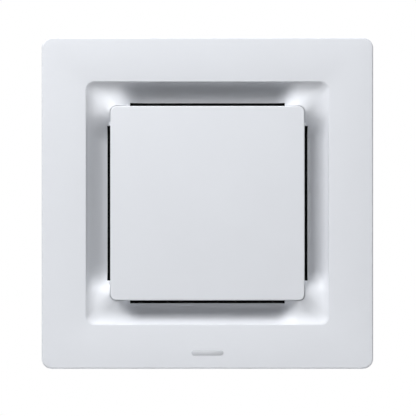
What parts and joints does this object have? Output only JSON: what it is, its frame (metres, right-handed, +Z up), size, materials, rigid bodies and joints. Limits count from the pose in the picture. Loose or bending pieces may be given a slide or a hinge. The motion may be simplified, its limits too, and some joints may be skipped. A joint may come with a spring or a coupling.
{
  "type": "heat recovery unit",
  "caption": "Square wall heat recovery ventilator: concave recess round a sliding centre plate, cross-flow core, twin impellers on one shaft and a coaxial duct spigot.",
  "frame": {"origin": "centre of the four wall screws, on the wall's face, which is also on the axis of the duct", "axes": "+Y into the wall along the duct's axis, +Z up, +X to the right as seen from the room"},
  "size_m": [0.29, 0.1863, 0.29],
  "materials": {
    "panel_white": "satin",
    "badge_white": "satin",
    "moulded_white": "matte",
    "casing_grey": "matte",
    "duct_grey": "matte",
    "inner_grey": "matte",
    "core_case": "matte",
    "dark_plastic": "matte",
    "filter_fibre": "matte",
    "core_paper": "matte",
    "foam_white": "matte",
    "seal_foam": "matte",
    "zinc_steel": "satin",
    "spring_steel": "satin",
    "screw_steel": "satin",
    "motor_steel": "satin",
    "motor_end": "satin",
    "bearing_steel": "polished",
    "lamination": "satin",
    "copper_wire": "satin",
    "magnet": "satin",
    "fan_plastic": "matte",
    "gear_motor": "satin",
    "control_white": "matte",
    "board_green": "satin",
    "capacitor_blue": "gloss",
    "terminal_ivory": "satin",
    "lead_grey": "satin"
  },
  "bodies": {
    "housing": {"mounting_plate": "zinc_steel", "wall_gasket": "seal_foam", "mounting_screws": "screw_steel", "rear_casing": "casing_grey", "duct_spigot": "duct_grey", "inner_duct": "inner_grey", "exhaust_collector": "duct_grey", "exhaust_duct": "duct_grey", "supply_scroll": "inner_grey", "partition_plate": "zinc_steel", "exhaust_scroll": "inner_grey", "flap_frame": "duct_grey", "inlet_plate": "inner_grey", "motor_bracket": "zinc_steel", "motor_screws": "screw_steel", "motor_can": "motor_steel", "motor_cap": "motor_end", "motor_bearings": "bearing_steel", "stator_core": "lamination", "motor_windings": "copper_wire", "supply_duct": "duct_grey", "shutter_motor": "gear_motor", "shutter_lead": "lead_grey", "core_housing": "core_case", "core_block": "core_paper", "core_end_caps": "core_case", "core_seals": "seal_foam", "filter_frame": "dark_plastic", "filter_mesh": "filter_fibre", "air_guide": "dark_plastic", "front_casing": "casing_grey", "casing_screws": "screw_steel", "insulation_left": "foam_white", "insulation_right": "foam_white", "insulation_top": "foam_white", "control_box": "control_white", "control_cover": "control_white", "circuit_board": "board_green", "capacitor": "capacitor_blue", "terminal_block": "terminal_ivory", "cable_clamp": "terminal_ivory", "grommet": "seal_foam", "motor_lead": "lead_grey"},
    "front_cover": {"front_panel": "panel_white", "badge_plate": "badge_white", "panel_clips": "spring_steel", "post_bushes": "moulded_white"},
    "centre_cover": {"centre_plate": "panel_white", "plate_posts": "moulded_white", "post_clips": "spring_steel", "plate_buffers": "seal_foam"},
    "rotor": {"motor_shaft": "bearing_steel", "rotor_magnet": "magnet", "exhaust_impeller": "fan_plastic", "supply_impeller": "fan_plastic", "impeller_clips": "spring_steel"},
    "exhaust_damper": {"exhaust_flap": "dark_plastic", "flap_pin": "spring_steel"},
    "supply_damper": {"shutter_flap": "dark_plastic", "shutter_shaft": "bearing_steel"}
  },
  "joints": [
    {"name": "panel_pull", "type": "slide", "parent": "housing", "child": "front_cover", "axis": [0, -1, 0], "range_m": [0, 0.06]},
    {"name": "plate_slide", "type": "slide", "parent": "front_cover", "child": "centre_cover", "axis": [0, -1, 0], "range_m": [0, 0.007]},
    {"name": "rotor_spin", "type": "hinge", "parent": "housing", "child": "rotor", "pos_m": [0, -0.04, 0], "axis": [0, 1, 0], "continuous": true},
    {"name": "flap_swing", "type": "hinge", "parent": "housing", "child": "exhaust_damper", "pos_m": [-0.0842, -0.048, -0.0415], "axis": [0, 1, 0], "range_deg": [0, 50]},
    {"name": "shutter_turn", "type": "hinge", "parent": "housing", "child": "supply_damper", "pos_m": [0.058, -0.0208, -0.087], "axis": [1, 0, 0], "range_deg": [0, 80]}
  ]
}
